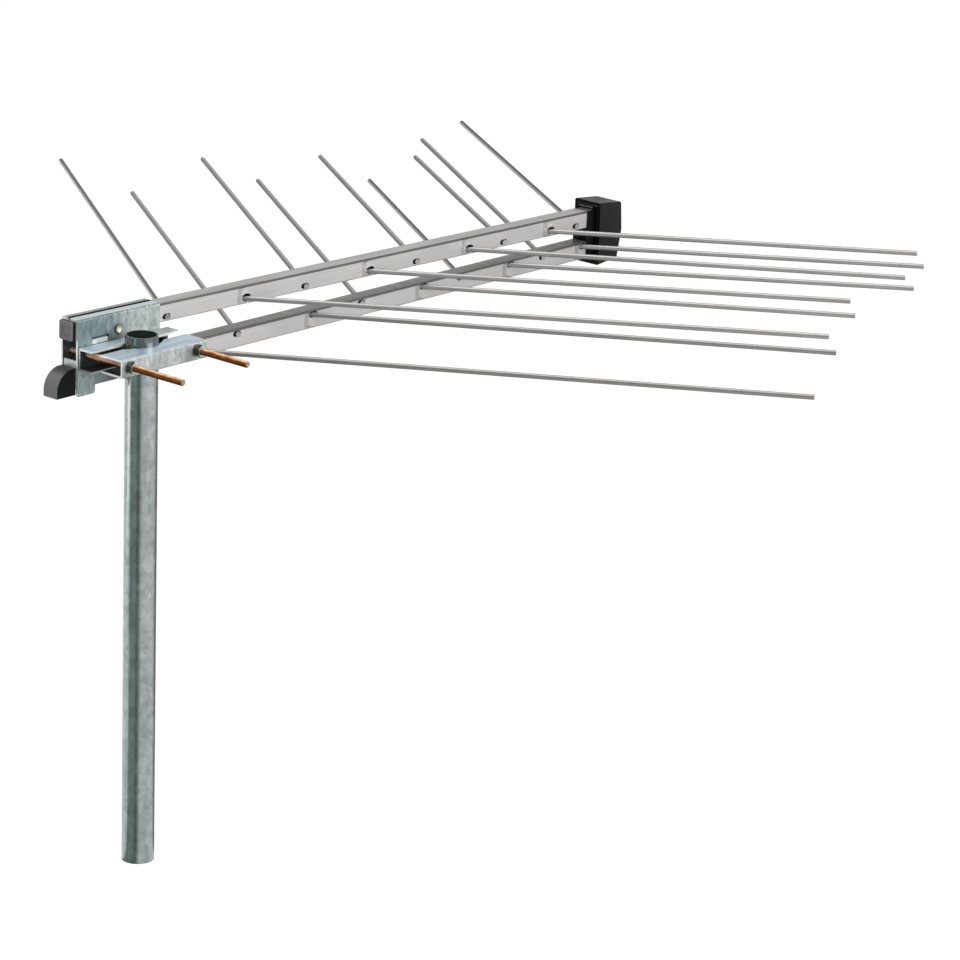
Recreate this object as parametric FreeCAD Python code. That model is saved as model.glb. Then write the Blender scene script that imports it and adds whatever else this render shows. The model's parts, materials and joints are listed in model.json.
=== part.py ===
import FreeCAD, Part
import math
import os

# Log-periodic antenna on a length of mast tube, in millimetres.
# Origin: centre of the mast's bottom end. +Z up the mast, +X along the booms to the feed box,
# +Y to the antenna's left. The booms pass the mast on its left side.

os.makedirs("parts", exist_ok=True)
Vec = FreeCAD.Vector

# Mast tube and the plug in its top
mast_diameter = 38.0
mast_wall = 2.0
mast_length = 631.0
plug_depth = 6.0
plug_recess = 1.5
plug_clearance = 0.05

# Heights of the clamp and the lower boom, down from the mast's top
jaw_below_mast_top = 10.8
stud_below_jaw_top = 9.8
boom_below_jaw_top = 36.0

# Booms: square tubes, the upper one falls towards the front
boom_size = 22.0
boom_wall = 1.5
boom_corner = 1.5
boom_offset = 47.0
boom_rear_x = -67.0
boom_front_x = 806.0
boom_gap = 31.5
upper_boom_fall = 1.026

# Half elements: rods swept forward, each through both side walls of one boom
rod_diameter = 6.0
rod_sweep = 33.7
rod_inset = 5.1
rod_tail = 3.5
# Dipoles from the rear: station on the booms, right and left half length, right and left tip rise
dipoles = [
    (82.0, 743.0, 745.0, -4.5, 3.0),
    (196.0, 687.0, 686.0, 1.0, -2.5),
    (308.0, 629.0, 627.0, -3.5, 1.5),
    (405.0, 584.0, 605.0, 2.0, 0.5),
    (500.0, 534.0, 532.0, -0.5, 1.0),
    (581.0, 543.0, 488.0, 0.0, 0.5),
    (658.0, 509.0, 455.0, 3.5, -3.0),
    (732.0, 467.0, 627.0, 2.0, 1.0),
    (794.0, 440.0, 579.0, 3.0, -2.0),
]

# Punched holes for the rods, with a pressed dent behind each outlet
upper_outlet_height = 9.0
lower_outlet_height = 7.4
outlet_rear_room = 4.5
outlet_front_room = 2.4
tail_height = 6.5
tail_rear_room = 4.2
tail_front_room = 0.3
rod_rest_gap = 0.1
slot_end_flats = 3
dent_depth = 1.0
dent_reach = 8.0
dent_end_slope = 3.0

# Bracket plates: folded sheet, one on each side of the booms
sheet = 2.5
lip_fold_radius = 2.3
jaw_fold_radius = 1.8
plate_rear_x = -66.5
plate_front_x = 60.5
plate_lip = 12.6
plate_tab_length = 27.0
plate_tab_drop = 9.9
plate_tab_radius = 4.0
window_rear_x = -45.0
window_length = 26.0
window_height = 7.9
window_above_jaw = 0.6

# Spacer between the plates: a folded sheet with ears in the plates' windows
ear_height = 5.2
ear_play = 1.2
spacer_clearance = 0.3
spacer_panel_height = 9.0

# Jaws: notched channels that grip the mast
jaw_rear_x = -65.0
inner_jaw_height = 26.2
inner_jaw_front_x = 71.0
inner_jaw_edge_y = 12.0
outer_jaw_front_x = 66.0
outer_jaw_height = 21.0
outer_jaw_web_y = -37.0
outer_jaw_edge_y = -3.5
notch_slope = 30.0
notch_clearance = 0.05

# Studs, nuts and washers
stud_diameter = 8.0
stud_hole = 9.0
stud_spacing = 104.0
stud_far_stick_out = 2.0
rear_stud_reach = 120.0
front_stud_reach = 116.0
nut_width = 13.0
nut_height = 6.5
washer_diameter = 16.0
washer_height = 1.6
thread_clearance = 0.1

# Through rivets that hold the plates on the booms
rivet_diameter = 6.0
rivet_head = 12.0
rivet_head_height = 1.6
rivet_clearance = 0.05
upper_rivet_x = -4.5
upper_rivet_drop = 6.2
lower_rivet_x = 30.0

# End cap of the upper boom
cap_thickness = 5.7
cap_edge = 1.0
cap_dimple = 0.6
plug_in_depth = 15.0
plug_in_clearance = 0.15
plug_in_wall = 2.0
front_plug_depth = 4.5
plug_rod_clearance = 0.3

# Cable exit hood of the lower boom
hood_drop = 31.0
hood_reach = 28.3
hood_radius = 24.0
hood_wall = 2.2
hood_top_above_boom = 1.3

# Feed box
box_gap = 14.0
box_width = 42.0
box_depth = 42.0
box_rear_height = 80.0
box_top_fall = 4.3
box_bottom_rise = 4.7
box_bulge = 2.5
box_front_rake = 5.0
box_wall = 2.5
box_edge = 1.6
base_recess = 2.0
base_thickness = 3.0
base_clearance = 0.2
rim_height = 3.0
rim_thickness = 1.5
rim_inset = 1.0
neck_gap = 0.3
neck_step = 0.5
cable_bore = 9.0
cable_drop = 2.6

# Contacts in the feed box
strip_width = 10.0
strip_thickness = 1.0
strip_in_boom = 16.0
strip_in_box = 22.0
strip_hole_clearance = 0.2
contact_screw = 4.0
contact_head = 7.0
contact_head_height = 2.6
contact_nut_height = 3.2
contact_screw_margin = 6.0

# Places that follow from the sizes above
mast_radius = mast_diameter / 2
jaw_top_z = mast_length - jaw_below_mast_top
stud_z = jaw_top_z - stud_below_jaw_top
lower_boom_z = jaw_top_z - boom_below_jaw_top
half_boom = boom_size / 2
boom_near_y = boom_offset - half_boom
boom_far_y = boom_offset + half_boom
plate_near_y = boom_near_y - sheet
plate_far_y = boom_far_y + sheet
fall = math.radians(upper_boom_fall)
sweep = math.radians(rod_sweep)
upper_boom_z = lower_boom_z + boom_size + boom_gap
lower_boom_bottom = lower_boom_z - half_boom
lower_boom_top = lower_boom_z + half_boom
rod_radius = rod_diameter / 2
stud_radius = stud_diameter / 2
stud_places = (-stud_spacing / 2, stud_spacing / 2)


def upper_axis_z(x):
    """Height of the upper boom's axis at x."""
    return upper_boom_z - x * math.tan(fall)


def block(x0, x1, y0, y1, z0, z1):
    """Box between two corners."""
    return Part.makeBox(x1 - x0, y1 - y0, z1 - z0, Vec(x0, y0, z0))


def prism_xz(points, y0, y1):
    """Polygon drawn in X and Z, pulled from y0 to y1."""
    wire = Part.makePolygon([Vec(x, y0, z) for x, z in points + points[:1]])
    return Part.Face(wire).extrude(Vec(0, y1 - y0, 0))


def round_y(x, z, radius, y0, y1):
    """Cylinder along Y."""
    return Part.makeCylinder(radius, y1 - y0, Vec(x, y0, z), Vec(0, 1, 0))


def edges_along(shape, axis):
    """Straight edges of a shape that run along one axis."""
    chosen = []
    for edge in shape.Edges:
        if isinstance(edge.Curve, Part.Line):
            direction = edge.Curve.Direction
            if abs(direction.dot(axis)) > 0.999:
                chosen.append(edge)
    return chosen


def rounded_bar(x0, x1, size, corner):
    """Square bar along X about the origin, with rounded long edges."""
    bar = block(x0, x1, -size / 2, size / 2, -size / 2, size / 2)
    return bar.makeFillet(corner, edges_along(bar, Vec(1, 0, 0)))


def onto_lower(shape):
    """Move a shape drawn about the X axis onto the lower boom's axis."""
    shape.translate(Vec(0, boom_offset, lower_boom_z))
    return shape


def onto_upper(shape):
    """Move a shape drawn about the X axis onto the upper boom's axis."""
    shape.rotate(Vec(0, 0, 0), Vec(0, 1, 0), upper_boom_fall)
    shape.translate(Vec(0, boom_offset, upper_boom_z))
    return shape


def flat_solid(points, faces):
    """Solid with flat faces, from its corners and the corners of each face."""
    shell = Part.makeShell([
        Part.Face(Part.makePolygon([points[i] for i in face + face[:1]])) for face in faces
    ])
    solid = Part.makeSolid(shell)
    if solid.Volume < 0:
        solid.reverse()
    return solid


def dent(x, side, depth_from):
    """Pressed dent in a boom's side wall: a low hipped roof with its ridge up the wall at x."""
    face_y = side * depth_from
    deep_y = face_y - side * dent_depth
    out_y = face_y + side * dent_depth
    half = half_boom - boom_corner
    ridge = half - dent_end_slope
    points = [
        Vec(x - dent_reach, face_y, -half), Vec(x + dent_reach, face_y, -half),
        Vec(x + dent_reach, face_y, half), Vec(x - dent_reach, face_y, half),
        Vec(x, deep_y, -ridge), Vec(x, deep_y, ridge),
        Vec(x - dent_reach, out_y, -half), Vec(x + dent_reach, out_y, -half),
        Vec(x + dent_reach, out_y, half), Vec(x - dent_reach, out_y, half),
    ]
    faces = [
        [0, 1, 4], [1, 2, 5, 4], [2, 3, 5], [3, 0, 4, 5],
        [6, 7, 1, 0], [7, 8, 2, 1], [8, 9, 3, 2], [9, 6, 0, 3], [6, 7, 8, 9],
    ]
    return flat_solid(points, faces)


def rod_lines(upper):
    """Half elements of one boom: name, centre point, direction and length of each."""
    lines = []
    for number, (station, right, left, right_rise, left_rise) in enumerate(dipoles, 1):
        odd = number % 2 == 1
        name, side, length, rise = f"element_{number}_right", -1, right, right_rise
        if odd == upper:
            name, side, length, rise = f"element_{number}_left", 1, left, left_rise
        height = upper_axis_z(station) - rod_inset if upper else lower_boom_z + rod_inset
        centre = Vec(station, boom_offset, height)
        way = Vec(math.sin(sweep), side * math.cos(sweep), rise / length)
        way.normalize()
        lines.append((name, side, centre, way, length))
    return lines


def rod_at(centre, way, y):
    """Point where a rod's axis meets the plane at y."""
    return centre + way * ((y - centre.y) / way.y)


def slot_outline(rear, front, z, radius):
    """Corners of an oblong hole in a side wall, its round ends drawn as a few flats."""
    corners = []
    for centre_x, first in ((rear + radius, 90), (front - radius, 270)):
        for i in range(slot_end_flats + 1):
            angle = math.radians(first + 180 * i / slot_end_flats)
            corners.append((centre_x + radius * math.cos(angle), z + radius * math.sin(angle)))
    return corners


def slot_cutter(upper, centre, way, side, outlet):
    """Punch for one rod through a side wall, with the rod resting on the hole's lower edge."""
    outer = rod_at(centre, way, boom_offset + side * half_boom)
    inner = rod_at(centre, way, boom_offset + side * (half_boom - boom_wall - dent_depth))
    half_width = rod_radius / math.cos(sweep)
    if outlet:
        height = upper_outlet_height if upper else lower_outlet_height
        rear_room, front_room = outlet_rear_room, outlet_front_room
    else:
        height = tail_height
        rear_room, front_room = tail_rear_room, tail_front_room
    radius = height / 2
    z = min(outer.z, inner.z) - rod_radius - rod_rest_gap + radius
    rear = outer.x - half_width - rear_room
    front = max(outer.x, inner.x) + half_width + front_room
    reach = boom_wall + 2 * dent_depth
    y = boom_offset + side * half_boom
    return prism_xz(slot_outline(rear, front, z, radius), y - reach, y + reach)


def make_boom(upper):
    """Square tube with the dents and holes of its nine rods and its rivet hole."""
    place = onto_upper if upper else onto_lower
    bar = rounded_bar(boom_rear_x, boom_front_x, boom_size, boom_corner)
    inside = boom_size - 2 * boom_wall
    bore = block(boom_rear_x - 1, boom_front_x + 1, -inside / 2, inside / 2, -inside / 2, inside / 2)
    lines = rod_lines(upper)
    outer_dents = []
    inner_dents = []
    for name, side, centre, way, length in lines:
        outlet = rod_at(centre, way, boom_offset + side * half_boom)
        ridge_x = outlet.x - rod_radius / math.cos(sweep) - outlet_rear_room
        outer_dents.append(dent(ridge_x, side, half_boom))
        inner_dents.append(dent(ridge_x, side, half_boom - boom_wall))
    tube = place(bar.cut(outer_dents).cut(bore.cut(inner_dents)))
    cutters = []
    for name, side, centre, way, length in lines:
        cutters.append(slot_cutter(upper, centre, way, side, True))
        cutters.append(slot_cutter(upper, centre, way, -side, False))
    cutters.append(rivet_bore(upper))
    return tube.cut(cutters)


def make_rod(centre, way, length):
    """One half element: a round rod from its tail nub to its tip."""
    tail = half_boom / math.cos(sweep) + rod_tail
    return Part.makeCylinder(rod_radius, length + tail, centre - way * tail, way)


def rivet_place(upper):
    """Rivet's place along and up the bracket."""
    if upper:
        return upper_rivet_x, upper_axis_z(upper_rivet_x) - upper_rivet_drop
    return lower_rivet_x, lower_boom_z


def rivet_bore(upper):
    """Hole for a through rivet."""
    x, z = rivet_place(upper)
    radius = rivet_diameter / 2 + rivet_clearance
    return round_y(x, z, radius, plate_near_y - 1, plate_far_y + 1)


def make_rivet(upper):
    """Through rivet with a flat round head on each plate."""
    x, z = rivet_place(upper)
    near = plate_near_y - rivet_head_height
    far = plate_far_y + rivet_head_height
    shank = round_y(x, z, rivet_diameter / 2, near, far)
    near_head = round_y(x, z, rivet_head / 2, near, plate_near_y)
    far_head = round_y(x, z, rivet_head / 2, plate_far_y, far)
    return shank.fuse([near_head, far_head]).removeSplitter()


def plate_outline():
    """Side view of a plate, with the tab that drops beside the hood."""
    bottom = lower_boom_bottom - plate_tab_drop
    tab_x = plate_rear_x + plate_tab_length
    top_rear = upper_axis_z(plate_rear_x) + boom_size
    top_front = upper_axis_z(plate_front_x) + boom_size
    corner = plate_tab_radius
    arc = Part.Arc(
        Vec(tab_x - corner, 0, bottom),
        Vec(tab_x - corner * (1 - math.sqrt(0.5)), 0, bottom + corner * (1 - math.sqrt(0.5))),
        Vec(tab_x, 0, bottom + corner),
    )
    after = [
        Vec(tab_x, 0, bottom + corner), Vec(tab_x, 0, lower_boom_bottom),
        Vec(plate_front_x, 0, lower_boom_bottom), Vec(plate_front_x, 0, top_front),
        Vec(plate_rear_x, 0, top_rear), Vec(plate_rear_x, 0, bottom),
        Vec(tab_x - corner, 0, bottom),
    ]
    edges = [arc.toShape()]
    edges += [Part.LineSegment(a, b).toShape() for a, b in zip(after, after[1:])]
    return Part.Face(Part.Wire(edges))


def make_plate(side):
    """Bracket plate beside both booms, with its lip folded over the upper boom."""
    long = 2 * (plate_front_x - plate_rear_x)
    inner = half_boom
    outer = half_boom + sheet
    leg = block(-long, long, inner, outer, -long, half_boom + sheet)
    lip = block(-long, long, outer - plate_lip, outer, half_boom, half_boom + sheet)
    folded = leg.fuse(lip).removeSplitter()
    ridge = [
        e for e in edges_along(folded, Vec(1, 0, 0))
        if abs(e.Vertexes[0].Y - outer) < 0.01 and abs(e.Vertexes[0].Z - half_boom - sheet) < 0.01
    ]
    folded = folded.makeFillet(lip_fold_radius, ridge)
    if side < 0:
        folded = folded.mirror(Vec(0, 0, 0), Vec(0, 1, 0))
    folded = onto_upper(folded)
    outline = plate_outline()
    outline.translate(Vec(0, boom_offset - boom_size, 0))
    plate = folded.common(outline.extrude(Vec(0, 2 * boom_size, 0)))
    window_z = jaw_top_z + window_above_jaw
    window = block(
        window_rear_x, window_rear_x + window_length, plate_near_y - 1, plate_far_y + 1,
        window_z, window_z + window_height,
    )
    holes = [window, rivet_bore(True), rivet_bore(False)]
    holes += [round_y(x, stud_z, stud_hole / 2, plate_near_y - 1, plate_far_y + 1) for x in stud_places]
    return plate.cut(holes)


def make_spacer():
    """Folded spacer between the plates: ears in their windows, web down, foot on the lower boom."""
    rear = window_rear_x + ear_play / 2
    front = window_rear_x + window_length - ear_play
    ear_z = jaw_top_z + window_above_jaw
    near = boom_near_y + spacer_clearance
    far = boom_far_y - spacer_clearance
    ears = block(rear, front, plate_near_y, plate_far_y, ear_z, ear_z + ear_height)
    web = block(front - sheet, front, near, far, lower_boom_top, ear_z + ear_height)
    foot_rear = plate_rear_x + sheet / 2
    foot = block(foot_rear, front, near, far, lower_boom_top, lower_boom_top + sheet)
    panel_top = lower_boom_top + spacer_panel_height
    panel = block(foot_rear, foot_rear + sheet, near, far, lower_boom_top, panel_top)
    return ears.fuse([web, foot, panel]).removeSplitter()


def notch_face(side, edge_y):
    """Notch for the mast in a jaw's flange: a hugging arc with two straight flanks."""
    slope = math.radians(notch_slope)
    radius = mast_radius + notch_clearance
    touch_x = radius * math.sin(slope)
    touch_y = side * radius * math.cos(slope)
    out_y = edge_y - side
    run = (touch_y - out_y) * side / math.tan(slope)
    arc = Part.Arc(Vec(-touch_x, touch_y, 0), Vec(0, side * radius, 0), Vec(touch_x, touch_y, 0))
    corners = [
        Vec(touch_x, touch_y, 0), Vec(touch_x + run, out_y, 0),
        Vec(-touch_x - run, out_y, 0), Vec(-touch_x, touch_y, 0),
    ]
    edges = [arc.toShape()]
    edges += [Part.LineSegment(a, b).toShape() for a, b in zip(corners, corners[1:])]
    return Part.Face(Part.Wire(edges))


def make_jaw(side, web_outer_y, edge_y, front_x, height):
    """Channel jaw: web away from the mast, two flanges notched to grip it."""
    low_y = min(web_outer_y, edge_y)
    high_y = max(web_outer_y, edge_y)
    bottom = jaw_top_z - height
    channel = block(jaw_rear_x, front_x, low_y, high_y, bottom, jaw_top_z)
    folds = [e for e in edges_along(channel, Vec(1, 0, 0)) if abs(e.Vertexes[0].Y - web_outer_y) < 0.01]
    channel = channel.makeFillet(jaw_fold_radius, folds)
    inner_y = web_outer_y - side * sheet
    open_y = edge_y - side
    hollow = block(
        jaw_rear_x - 1, front_x + 1, min(inner_y, open_y), max(inner_y, open_y),
        bottom + sheet, jaw_top_z - sheet,
    )
    notch = notch_face(side, edge_y)
    notch.translate(Vec(0, 0, bottom - 1))
    cutters = [hollow, notch.extrude(Vec(0, 0, height + 2))]
    hole_low = min(web_outer_y, inner_y) - 1
    cutters += [round_y(x, stud_z, stud_hole / 2, hole_low, hole_low + sheet + 2) for x in stud_places]
    return channel.cut(cutters)


def make_stud(x, reach):
    """Stud through both jaws and plates."""
    far_end = plate_far_y + nut_height + stud_far_stick_out
    return round_y(x, stud_z, stud_radius, -reach, far_end)


def make_nut(x, y):
    """Hexagon nut about a stud, from y towards +Y, standing on a corner."""
    corner = nut_width / math.sqrt(3)
    points = []
    for i in range(6):
        angle = math.radians(60 * i + 30)
        points.append((x + corner * math.cos(angle), stud_z + corner * math.sin(angle)))
    nut = prism_xz(points, y, y + nut_height)
    return nut.cut(round_y(x, stud_z, stud_radius + thread_clearance, y - 1, y + nut_height + 1))


def make_washer(x, y):
    """Flat washer about a stud, from y towards +Y."""
    ring = round_y(x, stud_z, washer_diameter / 2, y, y + washer_height)
    return ring.cut(round_y(x, stud_z, stud_radius + thread_clearance, y - 1, y + washer_height + 1))


def boom_plug(x0, x1):
    """Hollow square spigot along X that fits a boom's bore, open at both ends."""
    size = boom_size - 2 * boom_wall - 2 * plug_in_clearance
    spigot = block(x0, x1, -size / 2, size / 2, -size / 2, size / 2)
    hole = size / 2 - plug_in_wall
    return spigot.cut(block(x0 - 1, x1 + 1, -hole, hole, -hole, hole))


def front_spigot(upper):
    """Channel spigot for a boom's front end, open towards the other boom to pass the last rod."""
    spigot = boom_plug(boom_front_x - front_plug_depth, boom_front_x + neck_gap + 1)
    room = half_boom - boom_wall
    level = rod_inset - rod_radius - plug_rod_clearance
    low, high = (-room, -level) if upper else (level, room)
    rod_room = block(boom_front_x - front_plug_depth - 1, boom_front_x, -room, room, low, high)
    return spigot.cut(rod_room)


def make_cap():
    """Square cap with its spigot in the upper boom's rear end and a shallow dimple outside."""
    cap_rear = boom_rear_x - cap_thickness
    flange = block(cap_rear, boom_rear_x, -half_boom, half_boom, -half_boom, half_boom)
    flange = flange.makeChamfer(boom_corner, edges_along(flange, Vec(1, 0, 0)))
    rear_face = min(flange.Faces, key=lambda face: face.CenterOfMass.x)
    flange = flange.makeChamfer(cap_edge, rear_face.Edges)
    half = half_boom / 2
    dimple = block(cap_rear, cap_rear + cap_dimple, -half, half, -half, half)
    plug = boom_plug(boom_rear_x, boom_rear_x + plug_in_depth)
    return onto_upper(flange.cut(dimple).fuse(plug).removeSplitter())


def hood_form(wall, bottom):
    """Quarter-round form of the hood, kept in by wall at its roof, back, front and sides."""
    top = half_boom + hood_top_above_boom - wall
    rear = boom_rear_x - hood_reach + wall
    front = boom_rear_x - wall
    radius = hood_radius - wall
    bend_x = rear + radius
    bend_z = top - radius
    middle = radius * math.sqrt(0.5)
    arc = Part.Arc(Vec(rear, 0, bend_z), Vec(bend_x - middle, 0, bend_z + middle), Vec(bend_x, 0, top))
    corners = [
        Vec(bend_x, 0, top), Vec(front, 0, top),
        Vec(front, 0, bottom), Vec(rear, 0, bottom), Vec(rear, 0, bend_z),
    ]
    edges = [arc.toShape()]
    edges += [Part.LineSegment(a, b).toShape() for a, b in zip(corners, corners[1:])]
    face = Part.Face(Part.Wire(edges))
    face.translate(Vec(0, wall - half_boom, 0))
    return face.extrude(Vec(0, boom_size - 2 * wall, 0))


def make_hood():
    """Cable exit hood: quarter-round shell, open below, its spigot in the lower boom."""
    bottom = half_boom + hood_top_above_boom - hood_drop
    shell = hood_form(0, bottom).cut(hood_form(hood_wall, bottom - 1))
    plug = boom_plug(boom_rear_x, boom_rear_x + plug_in_depth)
    hole = (boom_size - 2 * boom_wall) / 2 - plug_in_clearance - plug_in_wall
    mouth = block(boom_rear_x - hood_wall - 1, boom_rear_x + 1, -hole, hole, -hole, hole)
    return onto_lower(shell.cut(mouth).fuse(plug).removeSplitter())


def box_side(offset):
    """Side view of the feed box about the booms' mid height, drawn inside by offset."""
    rear = boom_front_x + box_gap
    front = rear + box_depth
    mid = box_mid_z()
    top = mid + box_rear_height / 2
    bottom = mid - box_rear_height / 2
    return [
        (rear, bottom + offset), (rear, top - offset),
        (front - offset, top - box_top_fall - offset),
        (front + box_bulge - offset, mid),
        (front - box_front_rake - offset, bottom + box_bottom_rise + offset),
    ]


def box_mid_z():
    """Height half way between the booms' front ends."""
    return (upper_axis_z(boom_front_x) + lower_boom_z) / 2


def make_box_cover():
    """Feed box cover: a one-piece shell, open to the rear, with broken edges."""
    half = box_width / 2
    rear = boom_front_x + box_gap
    body = prism_xz(box_side(0), boom_offset - half, boom_offset + half)
    # The mouth's own edges stay sharp
    outside = [e for e in body.Edges if max(v.X for v in e.Vertexes) > rear + box_edge]
    body = body.makeChamfer(box_edge, outside)
    room = prism_xz(box_side(box_wall), boom_offset - half + box_wall, boom_offset + half - box_wall)
    return body.cut(room)


def rear_wall_half_height():
    """Half height of the box's rear wall, clear of the cover's sloping roof and floor."""
    steepest = max(box_top_fall, box_bottom_rise) / (box_depth - box_front_rake - box_wall)
    taken = steepest * (base_recess + base_thickness)
    return box_rear_height / 2 - box_wall - base_clearance - taken


def centred_block(x0, x1, half_width, half_height):
    """Block about the feed box's middle line."""
    mid = box_mid_z()
    return block(
        x0, x1, boom_offset - half_width, boom_offset + half_width, mid - half_height, mid + half_height,
    )


def make_box_base():
    """Feed box base: rear wall in the cover's mouth, raised rim, neck and two spigots."""
    wall_x = boom_front_x + box_gap + base_recess
    half = box_width / 2 - box_wall - base_clearance
    tall = rear_wall_half_height()
    wall = centred_block(wall_x, wall_x + base_thickness, half, tall)
    rim = centred_block(wall_x - rim_height, wall_x, half - rim_inset, tall - rim_inset)
    inside = rim_inset + rim_thickness
    rim = rim.cut(centred_block(wall_x - rim_height - 1, wall_x + 1, half - inside, tall - inside))
    neck_top = upper_axis_z(boom_front_x) + half_boom - neck_step
    neck_x = boom_front_x + neck_gap
    neck = block(neck_x, wall_x, boom_near_y, boom_far_y, lower_boom_bottom, neck_top)
    neck = neck.makeChamfer(boom_corner, edges_along(neck, Vec(1, 0, 0)))
    spigots = [onto_lower(front_spigot(False)), onto_upper(front_spigot(True))]
    base = wall.fuse([rim, neck] + spigots).removeSplitter()
    bore_start = boom_front_x - front_plug_depth - 1
    bore_end = wall_x + base_thickness + 1
    cable_way = Part.makeCylinder(
        cable_bore / 2, bore_end - bore_start,
        Vec(bore_start, boom_offset, lower_boom_z - cable_drop), Vec(1, 0, 0),
    )
    slots = [strip_blank(upper, base_clearance) for upper in (True, False)]
    return base.cut([cable_way] + slots)


def strip_span():
    """Rear and front end of a contact strip."""
    return boom_front_x - strip_in_boom, boom_front_x + box_gap + strip_in_box


def strip_height(upper):
    """Outer side of a contact strip against the boom's inner wall, facing the other boom."""
    inside = half_boom - boom_wall
    if upper:
        return upper_axis_z(boom_front_x - strip_in_boom) - inside
    return lower_boom_z + inside


def strip_blank(upper, room):
    """Flat strip from a boom's bore into the box, grown by room for its slot."""
    rear, front = strip_span()
    z = strip_height(upper)
    low, high = (z, z + strip_thickness) if upper else (z - strip_thickness, z)
    half = strip_width / 2 + room
    return block(rear - room, front + room, boom_offset - half, boom_offset + half, low - room, high + room)


def contact_place(upper):
    """Contact screw's place and the way its head points."""
    rear, front = strip_span()
    return front - contact_screw_margin, strip_height(upper), (1 if upper else -1)


def make_strip(upper):
    """Contact strip with the hole of its clamp screw."""
    strip = strip_blank(upper, 0)
    x, z, up = contact_place(upper)
    hole = Part.makeCylinder(
        contact_screw / 2 + strip_hole_clearance, 4 * strip_thickness,
        Vec(x, boom_offset, z - 2 * strip_thickness), Vec(0, 0, 1),
    )
    return strip.cut(hole)


def hexagon_z(x, y, width):
    """Flat hexagon about a point, drawn at z 0."""
    corner = width / math.sqrt(3)
    points = []
    for i in range(7):
        angle = math.radians(60 * i)
        points.append(Vec(x + corner * math.cos(angle), y + corner * math.sin(angle), 0))
    return Part.Face(Part.makePolygon(points))


def make_contact_screw(upper):
    """Clamp screw and its nut on a contact strip, as one solid."""
    x, z, up = contact_place(upper)
    head_base = z + up * strip_thickness
    head = hexagon_z(x, boom_offset, contact_head)
    head.translate(Vec(0, 0, head_base))
    head = head.extrude(Vec(0, 0, up * contact_head_height))
    nut = hexagon_z(x, boom_offset, contact_head)
    nut.translate(Vec(0, 0, z))
    nut = nut.extrude(Vec(0, 0, -up * contact_nut_height))
    # The shank ends flush with the nut
    length = strip_thickness + contact_nut_height
    shank = Part.makeCylinder(contact_screw / 2, length, Vec(x, boom_offset, head_base), Vec(0, 0, -up))
    return head.fuse([shank, nut]).removeSplitter()


def make_mast():
    """Mast tube, open at both ends."""
    tube = Part.makeCylinder(mast_radius, mast_length)
    return tube.cut(Part.makeCylinder(mast_radius - mast_wall, mast_length + 2, Vec(0, 0, -1)))


def make_mast_plug():
    """Plug a little below the mast's top rim."""
    radius = mast_radius - mast_wall - plug_clearance
    return Part.makeCylinder(radius, plug_depth, Vec(0, 0, mast_length - plug_recess - plug_depth))


nodes = {
    "mast_tube": make_mast(),
    "mast_plug": make_mast_plug(),
    "lower_boom": make_boom(False),
    "upper_boom": make_boom(True),
    "bracket_plate_right": make_plate(-1),
    "bracket_plate_left": make_plate(1),
    "bracket_spacer": make_spacer(),
    "inner_jaw": make_jaw(1, plate_near_y, inner_jaw_edge_y, inner_jaw_front_x, inner_jaw_height),
    "outer_jaw": make_jaw(-1, outer_jaw_web_y, outer_jaw_edge_y, outer_jaw_front_x, outer_jaw_height),
    "clamp_stud_rear": make_stud(stud_places[0], rear_stud_reach),
    "clamp_stud_front": make_stud(stud_places[1], front_stud_reach),
    "bracket_rivets": Part.makeCompound([make_rivet(True), make_rivet(False)]),
    "upper_boom_cap": make_cap(),
    "cable_exit_hood": make_hood(),
    "feed_box_cover": make_box_cover(),
    "feed_box_base": make_box_base(),
    "contact_strip_upper": make_strip(True),
    "contact_strip_lower": make_strip(False),
    "contact_screws": Part.makeCompound([make_contact_screw(True), make_contact_screw(False)]),
}

near_washer_y = outer_jaw_web_y - washer_height
near_nut_y = near_washer_y - nut_height
nodes["jaw_washers"] = Part.makeCompound([make_washer(x, near_washer_y) for x in stud_places])
nodes["jaw_nuts"] = Part.makeCompound([make_nut(x, near_nut_y) for x in stud_places])
nodes["plate_nuts"] = Part.makeCompound([make_nut(x, plate_far_y) for x in stud_places])

for on_upper in (False, True):
    for rod_name, rod_side, rod_centre, rod_way, rod_length in rod_lines(on_upper):
        nodes[rod_name] = make_rod(rod_centre, rod_way, rod_length)

for node_name, shape in nodes.items():
    shape.exportStep(f"parts/{node_name}.step")
    print(node_name, len(shape.Solids), shape.isValid(), round(shape.Volume, 1))
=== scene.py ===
import json
import math

import bmesh
import bpy
from mathutils import Matrix, Vector


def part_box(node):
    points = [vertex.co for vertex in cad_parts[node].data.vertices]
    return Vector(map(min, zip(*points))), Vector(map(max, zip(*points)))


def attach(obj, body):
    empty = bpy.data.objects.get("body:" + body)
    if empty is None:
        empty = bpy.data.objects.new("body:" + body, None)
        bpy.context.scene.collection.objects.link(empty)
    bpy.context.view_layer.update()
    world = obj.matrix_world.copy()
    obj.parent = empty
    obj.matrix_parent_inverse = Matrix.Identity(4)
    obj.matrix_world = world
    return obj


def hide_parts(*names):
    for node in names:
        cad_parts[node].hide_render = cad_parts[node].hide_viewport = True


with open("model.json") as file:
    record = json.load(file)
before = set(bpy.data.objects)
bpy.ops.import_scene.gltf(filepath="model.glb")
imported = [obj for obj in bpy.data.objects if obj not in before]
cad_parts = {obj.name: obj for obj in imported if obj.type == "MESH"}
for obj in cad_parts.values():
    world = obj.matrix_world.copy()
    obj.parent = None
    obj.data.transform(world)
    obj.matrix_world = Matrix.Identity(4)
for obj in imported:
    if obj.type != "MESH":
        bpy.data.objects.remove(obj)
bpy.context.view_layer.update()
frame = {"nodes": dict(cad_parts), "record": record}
nodes = frame["nodes"]

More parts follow.
